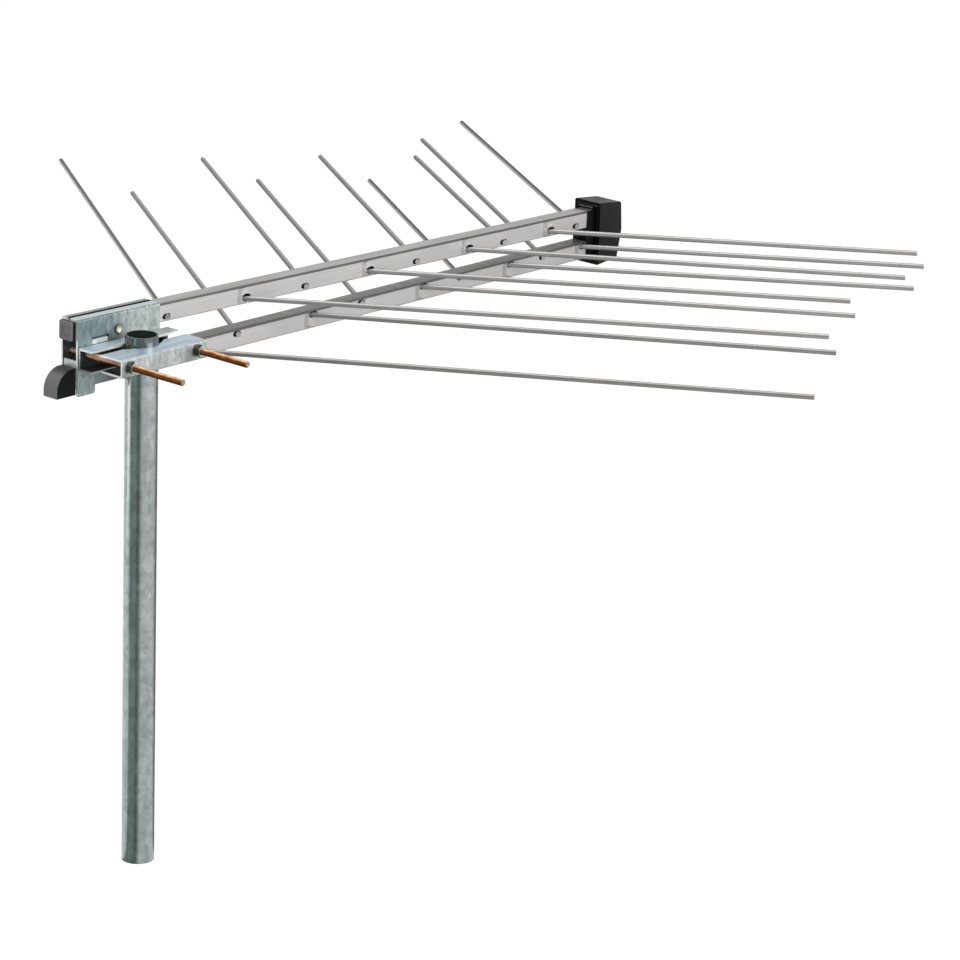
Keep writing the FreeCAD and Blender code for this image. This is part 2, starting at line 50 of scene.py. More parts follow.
# Camera, fitted to the photograph's frame of 960 x 960: metres, degrees and millimetres
camera_place = Vector((-3.34394, -3.47068, 1.97097))
camera_yaw = 41.50
camera_pitch = 17.32
camera_roll = 1.80
camera_lens = 166.99
camera_sensor = 36.0
camera_clip = (0.1, 100)

# Fine forms of the studs and nuts, in metres and degrees
thread_pitch = 0.00125
thread_depth = 0.0006
thread_rows_per_turn = 5
thread_columns = 20
stud_chamfer = 0.0009
nut_play = 0.0001
nut_half_corner = 30
nut_flat_share = 0.98
nut_chamfer_angle = 30
nut_columns = 60
nut_split_angle = 25

# Rivet heads; the profile is (share of the head's radius, depth below its highest ring)
rivet_head_radius = 0.006
rivet_dish_depth = 0.0009
rivet_profile = (
    (0.0, rivet_dish_depth), (0.5, rivet_dish_depth), (0.68, 0.1 * rivet_dish_depth),
    (0.8, 0.0), (0.95, 0.0), (1.0, 0.05 * rivet_head_radius),
)
rivet_columns = 40
rivet_split_angle = 40

# Black bar standing in for the shadow in the gap between the lips over the upper boom,
# and painted shade on the far lip's edge
boom_fall = 1.026
gap_shadow_width = 0.0017
gap_shadow_depth = 0.0012
gap_shadow_sink = 0.0002
gap_shadow_inset = 0.001
lip_shade_reach = 0.0038
lip_shade_fade = 0.0004

# Rib on the feed box's rear wall
box_wall_back = 0.01766
rib_below_top = 0.0030
rib_depth = 0.0012
rib_height = 0.0012
rib_length = 0.022
rib_shift = 0.002
rib_sunk = 0.0001

# Faint creases across the lower boom's top, painted as light lines: their places, and where each
# one fades out
lower_creases = (0.281, 0.470, 0.627, 0.768)
crease_reach = (0.0006, 0.0014)

# Painted shade of the booms' tops, and painted dark lines along their corners:
# depth below the top, distance from the side
upper_boom_top_shade = 0.56
lower_boom_top_shade = 0.36
shoulder_drop = (0.0022, 0.0027)
corner_inset = (0.0016, 0.0012)

# Painted shade of the half elements: darker copies of the rod finish, as a share of its colour
right_rod_shades = {1: 0.78, 3: 0.82}
left_rod_shade = 0.8
turned_rod_shades = {1: 0.86, 6: 0.72, 9: 0.66}

# Painted light and shade on the rear and upper sides of what lies left of the booms:
# the right rods' inner ends, the left rods, and the turned left rods,
# which are painted dark along their upper side instead
left_of_booms = (0.055, 0.06)
right_rod_ends = (0.10, 0.80)
toned_rod_ends = (0.0, 0.0)
left_rod_sides = (0.04, 0.82)
turned_rod_sides = (0.85, 0.20)

# Limits of masks on the surface's normal: square to an axis, and nearly so
square_on = (0.9, 0.97)
edge_on = (0.8, 0.95)

# Painted shade in green on the mast tube: azimuth, cosines where it starts and is full, share
low_green_shade = (198, 0.80, 0.97, 0.45)
high_green_shade = (206, 0.92, 0.985, 0.75)
green_change = (0.43, 0.53)
pitted_side = 285

# Width of the softened edges on each finish
edge_softness = {
    "galvanised_sheet": 0.0003,
    "cap_plastic": 0.0004,
    "box_plastic": 0.0004,
    "galvanised_tube": 0.0003,
}
edge_segments = 2
edge_angle = 35

# Floor: what the camera sees of it, and what the metal mirrors of it
floor_half = 30.0
floor_grey = 0.5
floor_seen = 0.88
floor_glow = 1.14
floor_dark = 0.13
floor_bright = 0.72
bright_right = (-1.1, -0.8)
bright_ahead = (-0.9, -0.5)

# Sectors of the mirrored floor: azimuth, outer and inner half-angle in degrees, level
floor_sectors = ((285, 80, 40, floor_bright), (86, 79, 46, 0.92), (178, 24, 17, 0.27))
glint_sector = (133, 20, 6)
glint_left = (0.5, 1.2)
floor_glint = 1.75

# Mirrored studio; its cards are azimuth, cosines where one starts and is full, level
sky_dark = 0.08
sky_cards = ((45, -0.5, 0.5, 0.30), (315, 0.2, 0.8, 0.60), (135, 0.3, 0.9, 0.14))
overhead_card = (0.74, 0.82)
sky_overhead = 0.62
ambient_level = 0.36
ambient_colour = (1.0, 0.99, 0.975)

# Lamps: name, place, size in metres, power in watts, colour
lamp_target = (0.4, 0.0, 0.55)
lamps = (
    ("key", (1.0, -3.2, 1.5), 2.2, 108, (1, 1, 1)),
    ("top", (0.3, 0.2, 3.2), 2.5, 34, (1.0, 0.99, 0.97)),
    ("rear", (-2.6, 0.3, 1.7), 0.9, 16, (1, 1, 1)),
)


def make_camera():
    """Telephoto camera at the photograph's viewpoint."""
    data = bpy.data.cameras.new("camera")
    data.lens = camera_lens
    data.sensor_width = camera_sensor
    data.clip_start, data.clip_end = camera_clip
    camera = bpy.data.objects.new("camera", data)
    turn = Matrix.Rotation(math.radians(camera_yaw - 90), 4, "Z")
    tilt = Matrix.Rotation(math.radians(90 - camera_pitch), 4, "X")
    roll = Matrix.Rotation(math.radians(camera_roll), 4, "Z")
    camera.matrix_world = Matrix.Translation(camera_place) @ turn @ tilt @ roll
    bpy.context.collection.objects.link(camera)
    bpy.context.scene.camera = camera


def heading(azimuth):
    """Level unit vector at an azimuth in degrees."""
    return (math.cos(math.radians(azimuth)), math.sin(math.radians(azimuth)), 0.0)


def grey(value):
    return (value, value, value)


class Nodes:
    """Small helper that adds and links shader nodes."""

    def __init__(self, tree):
        self.tree = tree
        tree.nodes.clear()

    def add(self, kind, **settings):
        node = self.tree.nodes.new(kind)
        for key, value in settings.items():
            setattr(node, key, value)
        return node

    def link(self, out_socket, in_socket):
        self.tree.links.new(out_socket, in_socket)

    def fill(self, socket, value):
        """Put a number, a colour or a link into a socket."""
        if isinstance(value, (int, float)):
            socket.default_value = value
        elif isinstance(value, tuple):
            socket.default_value = (*value, 1.0)
        else:
            self.link(value, socket)

    def position(self):
        """Place in the row frame, in metres."""
        return self.add("ShaderNodeTexCoord").outputs["Object"]

    def stretch(self, source, scale):
        """Coordinates scaled along each axis."""
        mapping = self.add("ShaderNodeMapping")
        self.link(source, mapping.inputs["Vector"])
        mapping.inputs["Scale"].default_value = scale
        return mapping.outputs["Vector"]

    def axis(self, vector, letter):
        """One coordinate of a vector."""
        split = self.add("ShaderNodeSeparateXYZ")
        self.link(vector, split.inputs["Vector"])
        return split.outputs[letter]

    def facing(self, letter):
        """One coordinate of the surface's own normal."""
        if not hasattr(self, "normal"):
            self.normal = self.add("ShaderNodeNewGeometry").outputs["True Normal"]
        return self.axis(self.normal, letter)

    def toward(self, vector, direction):
        """Cosine between a vector and a fixed direction."""
        unit = self.add("ShaderNodeVectorMath", operation="NORMALIZE")
        self.link(vector, unit.inputs[0])
        dot = self.add("ShaderNodeVectorMath", operation="DOT_PRODUCT")
        self.link(unit.outputs["Vector"], dot.inputs[0])
        dot.inputs[1].default_value = direction
        return dot.outputs["Value"]

    def noise(self, source, scale, detail=3.0, rough=0.55):
        node = self.add("ShaderNodeTexNoise")
        self.link(source, node.inputs["Vector"])
        node.inputs["Scale"].default_value = scale
        node.inputs["Detail"].default_value = detail
        node.inputs["Roughness"].default_value = rough
        return node.outputs["Fac"]

    def math(self, operation, a, b=None, c=None):
        node = self.add("ShaderNodeMath", operation=operation)
        for socket, value in zip(node.inputs, (a, b, c)):
            if value is not None:
                self.fill(socket, value)
        return node.outputs[0]

    def both(self, first, second):
        """Product: where both masks hold, or a share of one."""
        return self.math("MULTIPLY", first, second)

    def either(self, first, second):
        return self.math("MAXIMUM", first, second)

    def rest(self, mask):
        """Where the mask doesn't hold."""
        return self.math("SUBTRACT", 1.0, mask)

    def less(self, value, taken):
        return self.math("SUBTRACT", value, taken)

    def size(self, value):
        return self.math("ABSOLUTE", value)

    def scaled(self, value, factor, added):
        return self.math("MULTIPLY_ADD", value, factor, added)

    def band(self, value, low, high, to_low=0.0, to_high=1.0):
        """Smooth step of a value from low to high."""
        node = self.add("ShaderNodeMapRange", interpolation_type="SMOOTHSTEP")
        self.link(value, node.inputs["Value"])
        for name, setting in (
            ("From Min", low), ("From Max", high), ("To Min", to_low), ("To Max", to_high),
        ):
            node.inputs[name].default_value = setting
        return node.outputs["Result"]

    def fade(self, value, low, high):
        """Smooth step down from one to nothing."""
        return self.band(value, low, high, 1.0, 0.0)

    def ramp(self, source, stops):
        """Colour ramp from (position, colour) pairs."""
        node = self.add("ShaderNodeValToRGB")
        self.link(source, node.inputs["Fac"])
        ramp = node.color_ramp
        while len(ramp.elements) < len(stops):
            ramp.elements.new(0.5)
        for element, (place, colour) in zip(ramp.elements, stops):
            element.position = place
            element.color = (*colour, 1.0)
        return node.outputs["Color"]

    def blend(self, source, first, last, start=0.3, full=0.7):
        """Ramp from one colour to another."""
        return self.ramp(source, [(start, first), (full, last)])

    def mix(self, factor, a, b, blend="MIX"):
        """Mix of two colours."""
        node = self.add("ShaderNodeMix", data_type="RGBA", blend_type=blend)
        for name, value in (("Factor_Float", factor), ("A_Color", a), ("B_Color", b)):
            self.fill(next(s for s in node.inputs if s.identifier == name), value)
        return next(s for s in node.outputs if s.identifier == "Result_Color")

    def tint(self, colour, mask, tone, share=1.0):
        """Colour turned to a tone, by the given share, where the mask holds."""
        return self.mix(self.both(mask, share) if share < 1.0 else mask, colour, tone)

    def bump(self, height, distance, strength=1.0):
        node = self.add("ShaderNodeBump")
        self.link(height, node.inputs["Height"])
        node.inputs["Distance"].default_value = distance
        node.inputs["Strength"].default_value = strength
        return node.outputs["Normal"]

    def shader(self, colour, metallic, rough, normal=None, specular=None):
        """Principled shader wired to the material's output."""
        node = self.add("ShaderNodeBsdfPrincipled")
        for name, value in (
            ("Base Color", colour), ("Metallic", metallic), ("Roughness", rough),
            ("Normal", normal), ("Specular IOR Level", specular),
        ):
            if value is not None:
                self.fill(node.inputs[name], value)
        out = self.add("ShaderNodeOutputMaterial")
        self.link(node.outputs["BSDF"], out.inputs["Surface"])

    def shader_mix(self, factor, first, second, out_kind):
        """Mix of two shaders wired to the output."""
        mixer = self.add("ShaderNodeMixShader")
        for socket, source in zip(mixer.inputs, (factor, first.outputs[0], second.outputs[0])):
            self.link(source, socket)
        self.link(mixer.outputs[0], self.add(out_kind).inputs["Surface"])

    def rays(self):
        """Masks of the rays that the camera sees and of those that shiny surfaces mirror."""
        light = self.add("ShaderNodeLightPath")
        seen = self.either(light.outputs["Is Camera Ray"], light.outputs["Is Transmission Ray"])
        return seen, light.outputs["Is Glossy Ray"]


def new_material(name):
    material = bpy.data.materials.new(name)
    material.use_nodes = True
    return material, Nodes(material.node_tree)


def boom_material(node, fall, top_shade_grey, creases=()):
    """Extruded aluminium: fine lines, painted shade on tops, corners and dent slopes, painted
    crease highlights, bright ends.
    """
    drawn_dark, drawn_pale = (0.55, 0.54, 0.53), (0.63, 0.615, 0.60)
    dent_shade_tone, crease_highlight_tone = (0.34, 0.33, 0.32), grey(0.78)
    corner_shade_tone, end_tone, top_shade_spread = grey(0.045), grey(0.85), 0.16
    dent_slope_from, dent_slope_to = (0.85, 0.88), (0.9935, 0.998)
    material, n = new_material(f"aluminium_{node}")
    low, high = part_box(node)
    half_width = (high.y - low.y) / 2
    place = n.position()
    along = n.axis(place, "X")
    aside, up = n.size(n.facing("Y")), n.facing("Z")
    lines = n.noise(n.stretch(place, (1.5, 260, 260)), scale=4.0, detail=4.0)
    blotches = n.noise(n.stretch(place, (12, 30, 30)), scale=1.0, detail=2.0)
    weather = n.noise(n.stretch(place, (9, 90, 9)), scale=1.0, detail=3.0)
    colour = n.blend(lines, drawn_dark, drawn_pale)
    blotched = n.blend(blotches, grey(0.6), grey(0.7), start=0.35, full=0.65)
    colour = n.mix(0.3, colour, blotched, "MULTIPLY")
    # Painted shade on the slopes of the dents, dulling their highlights
    dent = n.both(n.band(aside, *dent_slope_from), n.fade(aside, *dent_slope_to))
    colour = n.tint(colour, dent, dent_shade_tone, share=0.5)
    # Painted shade on the tops, toned darker than the sides
    top = n.band(up, *square_on)
    colour = n.tint(colour, top, n.blend(weather, grey(top_shade_grey), grey(top_shade_grey + top_shade_spread)))
    # Painted highlight along each crease
    for x in creases:
        line = n.fade(n.size(n.less(along, x)), *crease_reach)
        colour = n.tint(colour, n.both(line, top), crease_highlight_tone, share=0.8)
    # Painted shade: dark lines below the top on the sides, and along the rounded corners
    run = n.both(n.less(along, low.x), math.tan(math.radians(fall)))
    below_top = n.less(n.less(high.z, n.axis(place, "Z")), run)
    shoulder = n.both(n.band(aside, 0.4, 0.6), n.fade(below_top, *shoulder_drop))
    across = n.size(n.less(n.axis(place, "Y"), (low.y + high.y) / 2))
    rounded = n.band(across, *(half_width - inset for inset in corner_inset))
    rounded = n.both(rounded, n.band(up, 0.2, 0.4))
    colour = n.tint(colour, n.either(shoulder, rounded), corner_shade_tone, share=0.85)
    colour = n.tint(colour, n.band(n.size(n.facing("X")), *square_on), end_tone)
    n.shader(
        colour, metallic=0.75, rough=n.scaled(blotches, 0.2, 0.30),
        normal=n.bump(lines, distance=0.00004, strength=0.5),
    )
    return material


def rod_material(name, sides, body=1.0):
    """Drawn aluminium rod: satin, painted shade underneath and on its crest, painted light and
    shade on its sides left of the booms.
    """
    drawn_dark, drawn_pale = (0.52, 0.51, 0.50), (0.61, 0.595, 0.58)
    under_shade_tone, crest_shade_tone = (0.20, 0.195, 0.19), (0.36, 0.355, 0.345)
    painted_rear_tone, painted_upper_tone = sides
    material, n = new_material(name)
    place = n.position()
    ahead, up = n.facing("X"), n.facing("Z")
    fine = n.noise(n.stretch(place, (60, 60, 60)), scale=1.0, detail=3.0)
    broad = n.noise(place, scale=25.0, detail=2.0)
    colour = n.blend(broad, drawn_dark, drawn_pale)
    # Painted shade underneath, and on the crest right of the booms
    colour = n.tint(colour, n.fade(up, -0.35, 0.1), under_shade_tone, share=0.5)
    left_side = n.band(n.axis(place, "Y"), *left_of_booms)
    crest = n.both(n.band(up, 0.35, 0.75), n.rest(left_side))
    colour = n.tint(colour, crest, crest_shade_tone, share=0.8)
    # Painted light and shade on the rear and upper sides left of the booms
    rearward = n.fade(ahead, -0.85, -0.55)
    upward = n.both(n.band(up, 0.25, 0.6), n.band(ahead, -0.55, -0.35))
    upward = n.both(upward, n.fade(ahead, 0.1, 0.3))
    colour = n.tint(colour, n.both(left_side, rearward), grey(painted_rear_tone), share=0.75)
    colour = n.tint(colour, n.both(left_side, upward), grey(painted_upper_tone), share=0.9)
    # Painted shade: a darker copy of the finish for some half elements
    colour = n.mix(1.0, colour, grey(body), "MULTIPLY")
    n.shader(colour, metallic=0.75, rough=n.scaled(fine, 0.06, 0.32))
    return material


def spangle(n, place, scale):
    """Random tone for each zinc crystal."""
    cells = n.add("ShaderNodeTexVoronoi", feature="F1")
    n.link(place, cells.inputs["Vector"])
    cells.inputs["Scale"].default_value = scale
    tone = n.add("ShaderNodeSeparateColor")
    n.link(cells.outputs["Color"], tone.inputs["Color"])
    return tone.outputs[0]


def zinc(n, place, pale=1.0):
    """Uneven grey of a zinc skin: blotches, runs down the sheet and crystals."""
    dull, bright = (0.29, 0.33, 0.325), (0.46, 0.485, 0.475)
    cells = spangle(n, n.stretch(place, (1, 1, 0.6)), 300.0)
    runs = n.noise(n.stretch(place, (170, 170, 28)), scale=1.0, detail=4.0)
    blotches = n.noise(place, scale=42.0, detail=4.0)
    tones = [tuple(min(1.0, pale * part) for part in tone) for tone in (dull, bright)]
    return n.blend(blotches, *tones), cells, runs, blotches


def finish_zinc(n, skin, marks, specular=None):
    """Crystals and runs over the skin's base, then marks as (mask, colour, share)."""
    base, cells, runs, blotches = skin
    colour = n.mix(0.5, base, n.blend(runs, grey(0.35), grey(0.72)), "OVERLAY")
    crystals = n.blend(cells, grey(0.25), grey(0.85), start=0.0, full=1.0)
    colour = n.mix(0.3, colour, crystals, "OVERLAY")
    for mask, tone, share in marks:
        colour = n.tint(colour, mask, tone, share)
    n.shader(
        colour, metallic=0.5, rough=n.scaled(cells, 0.16, 0.34),
        normal=n.bump(blotches, distance=0.0002, strength=0.35), specular=specular,
    )


def spacer_material():
    """Zinc of the spacer, paler than the other sheets, whose ears show in the plates' windows."""
    material, n = new_material("galvanised_sheet")
    finish_zinc(n, zinc(n, n.position(), pale=1.7), [])
    return material


def plate_material(node):
    """Bracket plate: painted shade at the rear, in holes, along the fold; painted light at the
    front, on the lip and outer edges.
    """
    near_side = node == "bracket_plate_right"
    teal, teal_tab = (0.175, 0.235, 0.24), (0.27, 0.33, 0.33)
    lip_reflection_tone = (0.66, 0.76, 0.80) if near_side else (0.40, 0.45, 0.44)
    hole_shade_tone, shade_tone = grey(0.015), grey(0.006)
    fold_shade_tone, rim_highlight_tone = (0.10, 0.12, 0.12), (0.86, 0.90, 0.88)
    bright_from, bright_to, wander = 0.06, 0.09, 0.03
    tab_from, tab_to = 0.035, 0.05
    rim_from, rim_to = 0.001, 0.002
    lip_from, lip_to = 0.005, 0.006
    material, n = new_material(f"galvanised_{node}")
    low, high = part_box(node)
    place = n.position()
    along, height, up = n.axis(place, "X"), n.axis(place, "Z"), n.facing("Z")
    base, cells, runs, blotches = zinc(n, place)
    # Painted shade in teal at the rear, lighter on the lower tab, and painted light towards the
    # front
    bright = n.scaled(blotches, wander, along)
    bright = n.band(bright, low.x + bright_from, low.x + bright_to)
    tab = n.fade(height, low.z + tab_from, low.z + tab_to)
    base = n.mix(bright, n.mix(tab, teal, teal_tab), base)
    # Painted shade along the fold, broken by flecks
    fleck = n.noise(n.stretch(place, (260, 60, 60)), scale=1.0, detail=2.0)
    fold_shade = n.both(n.band(up, 0.15, 0.5), n.fade(up, 0.93, 0.99))
    fold_shade = n.both(fold_shade, n.band(fleck, 0.42, 0.55, 0.2, 1.0))
    # Painted highlight on the outer cut edges at the rear and front
    outer = n.either(
        n.fade(along, low.x + rim_from, low.x + rim_to),
        n.band(along, high.x - rim_to, high.x - rim_from),
    )
    rim_highlight = n.both(n.band(n.size(n.facing("X")), *edge_on), outer)
    # Painted shade on the cut faces of the holes and window below the lip
    inward = n.both(n.fade(n.size(n.facing("Y")), 0.3, 0.6), n.rest(outer))
    below_lip = n.fade(height, high.z - lip_to, high.z - lip_from)
    # Marks: painted shade in holes, painted reflection on the lip, painted shade on the fold,
    # painted highlight on rims
    marks = [
        (n.both(inward, below_lip), hole_shade_tone, 0.9), (n.band(up, 0.9, 0.98), lip_reflection_tone, 1.0),
        (fold_shade, fold_shade_tone, 0.7), (rim_highlight, rim_highlight_tone, 1.0),
    ]
    specular = None
    if not near_side:
        # Painted shade on the far lip's edge, which also mirrors less there
        lip_edge = low.y + lip_shade_reach
        tip = n.fade(n.axis(place, "Y"), lip_edge, lip_edge + lip_shade_fade)
        painted_shade = n.both(tip, n.rest(below_lip))
        marks.insert(2, (painted_shade, shade_tone, 1.0))
        specular = n.scaled(painted_shade, -0.5, 0.5)
    finish_zinc(n, (base, cells, runs, blotches), marks, specular)
    return material


def jaw_material(node, open_sign):
    """Clamp jaw: painted blue sky reflection on top, painted shade inside, painted highlights on
    cut edges towards its open side.
    """
    inside_shade_tone, upper_edge_highlight_tone = (0.03, 0.035, 0.035), (0.84, 0.87, 0.85)
    lower_edge_shaded_tone = (0.64, 0.68, 0.66) if open_sign > 0 else (0.40, 0.44, 0.42)
    top_reflection_tones = [(0.3, (0.34, 0.47, 0.58)), (0.5, (0.50, 0.63, 0.74)), (0.7, (0.66, 0.76, 0.83))]
    front_reflection_tone = (0.42, 0.46, 0.45)
    web_reach, tip_reach = (0.0012, 0.002), (0.004, 0.006)
    material, n = new_material(f"galvanised_{node}")
    low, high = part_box(node)
    place = n.position()
    up = n.facing("Z")
    middle = (low.z + high.z) / 2
    upper_half = n.band(n.axis(place, "Z"), middle, middle + 0.001)
    lower_half = n.rest(upper_half)
    web_y = high.y if open_sign < 0 else low.y
    from_web = n.both(n.less(n.axis(place, "Y"), web_y), open_sign)
    off_web, tips = n.band(from_web, *web_reach), n.band(from_web, *tip_reach)
    open_way = n.band(n.both(n.facing("Y"), open_sign), 0.25, 0.5)
    # Painted shade on the faces inside the channel
    web_inside = n.both(n.both(open_way, off_web), n.rest(tips))
    roof = n.both(n.fade(up, -0.7, -0.3), upper_half)
    bed = n.both(n.band(up, 0.3, 0.7), lower_half)
    inside = n.either(web_inside, n.either(roof, bed))
    # Painted sky reflection in blue on the top faces, greyer at the inner jaw's front
    top = n.both(n.band(up, *edge_on), upper_half)
    top_reflection = n.ramp(n.noise(n.stretch(place, (18, 120, 18)), scale=1.0, detail=3.0), top_reflection_tones)
    if open_sign < 0:
        top_reflection = n.tint(top_reflection, n.band(n.axis(place, "X"), 0.0, 0.03), front_reflection_tone)
    # Painted highlight on the cut edges, dimmer on the lower half
    edges = n.either(n.band(n.size(n.facing("X")), *edge_on), n.both(open_way, tips))
    finish_zinc(n, zinc(n, place, pale=0.96), [
        (top, top_reflection, 0.85), (inside, inside_shade_tone, 0.92),
        (n.both(edges, upper_half), upper_edge_highlight_tone, 1.0),
        (n.both(edges, lower_half), lower_edge_shaded_tone, 1.0),
    ])
    return material


def level_part(n, place):
    """Level part of a position: the way outward from the mast's axis."""
    flat = n.add("ShaderNodeVectorMath", operation="MULTIPLY")
    n.link(place, flat.inputs[0])
    flat.inputs[1].default_value = (1, 1, 0)
    return flat.outputs["Vector"]


def galvanised_tube_material():
    """Hot-dip galvanised tube: greenish zinc, spangle, long streaks, painted shade in green on one
    side and at the top end.
    """
    streak_dark, streak_pale = (0.35, 0.40, 0.396), (0.49, 0.512, 0.508)
    green, speck_tone, end_tone = (0.62, 1.0, 0.92), (0.16, 0.17, 0.17), (0.10, 0.125, 0.12)
    end_height = 0.001
    material, n = new_material("galvanised_tube")
    place = n.position()
    height, outward = n.axis(place, "Z"), level_part(n, place)
    cells = spangle(n, n.stretch(place, (1, 1, 0.45)), 190.0)
    streaks = n.noise(n.stretch(place, (60, 60, 6)), scale=1.0, detail=5.0)
    patches = n.noise(place, scale=75.0, detail=5.0, rough=0.65)
    colour = n.blend(streaks, streak_dark, streak_pale)
    patched = n.blend(patches, grey(0.40), grey(0.7), start=0.35, full=0.62)
    colour = n.mix(0.5, colour, patched, "OVERLAY")
    crystals = n.blend(cells, grey(0.3), grey(0.8), start=0.0, full=1.0)
    colour = n.mix(0.2, colour, crystals, "OVERLAY")
    # Painted shade in green on the sides that face the given azimuths, changing with height
    upper = n.band(height, *green_change)
    tints = []
    for (azimuth, start, full, share), part in ((low_green_shade, n.rest(upper)), (high_green_shade, upper)):
        tinted = n.band(n.toward(outward, heading(azimuth)), start, full, 0.0, share)
        tints.append(n.both(tinted, part))
    colour = n.tint(colour, n.math("ADD", *tints), n.mix(1.0, colour, green, "MULTIPLY"))
    pits = n.band(n.noise(place, scale=420.0, detail=2.0), 0.66, 0.72)
    specks = n.both(pits, n.band(n.toward(outward, heading(pitted_side)), 0.5, 0.8))
    colour = n.tint(colour, specks, speck_tone, share=0.6)
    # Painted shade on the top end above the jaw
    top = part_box("outer_jaw")[1].z
    colour = n.tint(colour, n.band(height, top - end_height, top), end_tone, share=0.72)
    n.shader(
        colour, metallic=0.9, rough=n.scaled(cells, 0.12, 0.12),
        normal=n.bump(patches, distance=0.00010, strength=0.25),
    )
    return material


def stud_material():
    """Yellow-chromated steel: painted highlight in straw on top, copper at the sides, painted
    shade below and in the clamp.
    """
    shade_dark, end_tone = (0.012, 0.009, 0.007), (0.30, 0.28, 0.14)
    chromate_light_ramp = [
        (0.18, (0.035, 0.012, 0.005)), (0.48, (0.27, 0.09, 0.03)),
        (0.74, (0.50, 0.21, 0.075)), (0.97, (0.80, 0.54, 0.30)),
    ]
    clamp_shade = [(0.10, shade_dark), (0.32, (0.60, 0.26, 0.10)), (0.58, (0.95, 0.74, 0.56))]
    clamp_from, clamp_to = 0.001, 0.006
    bolt_from, bolt_to = -0.06, -0.05
    material, n = new_material("stud_zinc_yellow")
    place = n.position()
    along = n.axis(place, "Y")
    low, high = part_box("clamp_stud_rear")
    middle, radius = (low.z + high.z) / 2, (high.z - low.z) / 2
    uneven = n.scaled(n.noise(n.stretch(place, (260, 110, 260)), scale=1.0, detail=3.0), 1.2, -0.6)
    # Painted highlight on top and painted shade below: the colours ramp with height
    height = n.scaled(n.less(n.axis(place, "Z"), middle), 1 / radius, -0.1)
    height = n.scaled(n.math("ADD", height, uneven), 0.5, 0.5)
    # Painted shade and highlight on the stud inside the clamp, all dark on the front stud
    front = n.band(n.axis(place, "X"), 0.0, 0.001)
    shade = n.tint(n.ramp(height, clamp_shade), front, shade_dark)
    jaw_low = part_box("outer_jaw")[0]
    in_clamp = n.band(along, jaw_low.y + clamp_from, jaw_low.y + clamp_to)
    colour = n.tint(n.ramp(height, chromate_light_ramp), in_clamp, shade)
    bolt_end = n.both(n.fade(n.facing("Y"), -0.97, -0.9), n.fade(along, bolt_from, bolt_to))
    n.shader(n.tint(colour, bolt_end, end_tone), metallic=0.75, rough=0.36)
    return material


def rivet_centres():
    """Places (x, z) of the two rivets."""
    low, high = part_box("bracket_rivets")
    head = rivet_head_radius
    return ((low.x + head, high.z - head), (high.x - head, low.z + head))


def fastener_material():
    """Zinc-plated nuts, washers and rivets, with painted shade on faces turned back and down and
    on the rivet heads.
    """
    dull, bright, shade_tone = (0.40, 0.41, 0.34), (0.68, 0.69, 0.60), (0.025, 0.03, 0.028)
    head_reach = (0.0070, 0.0072)
    ring_reach = (0.78 * rivet_head_radius, 0.84 * rivet_head_radius)
    material, n = new_material("fastener_zinc")
    place = n.position()
    tone = n.noise(place, scale=160.0, detail=3.0)
    colour = n.blend(tone, dull, bright)
    # Painted shade on the faces that turn back and down
    rearward = n.fade(n.facing("X"), -0.5, -0.1)
    downward = n.fade(n.facing("Z"), -0.5, -0.1)
    reaches = []
    for x, z in rivet_centres():
        over, up = n.less(n.axis(place, "X"), x), n.less(n.axis(place, "Z"), z)
        reaches.append(n.math("SQRT", n.math("ADD", n.both(over, over), n.both(up, up))))
    reach = n.math("MINIMUM", *reaches)
    jaw_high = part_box("outer_jaw")[1]
    off_nuts = n.band(n.less(n.axis(place, "Y"), jaw_high.y), 0.001, 0.002)
    head = n.both(off_nuts, n.fade(reach, *head_reach))
    # Painted shade on the rivet heads' rims and on one side of their dishes
    ring = n.band(reach, *ring_reach)
    hollow = n.band(n.facing("X"), 0.03, 0.12)
    painted_shade = n.both(n.either(rearward, n.both(downward, 0.7)), n.rest(head))
    painted_shade = n.either(painted_shade, n.both(head, n.either(ring, n.both(hollow, 0.8))))
    colour = n.tint(colour, painted_shade, shade_tone, share=0.88)
    n.shader(
        colour, metallic=0.9, rough=n.scaled(head, 0.3, 0.26),
        normal=n.bump(tone, distance=0.0001, strength=0.3),
    )
    return material


def plastic_material(name, dark, light, rough, grain, specular, marks=()):
    """Moulded black plastic with a fine grain; marks are (axis, from, to, colour)."""
    material, n = new_material(name)
    place = n.position()
    fine = n.noise(place, scale=grain, detail=2.0)
    broad = n.noise(place, scale=40.0, detail=2.0)
    colour = n.blend(broad, dark, light)
    for letter, start, full, tone in marks:
        step = n.band if start < full else n.fade
        mask = step(n.facing(letter), min(start, full), max(start, full))
        colour = n.tint(colour, mask, tone)
    n.shader(
        colour, metallic=0.0, rough=n.scaled(fine, 0.12, rough),
        normal=n.bump(fine, distance=0.00005, strength=0.4), specular=specular,
    )
    return material


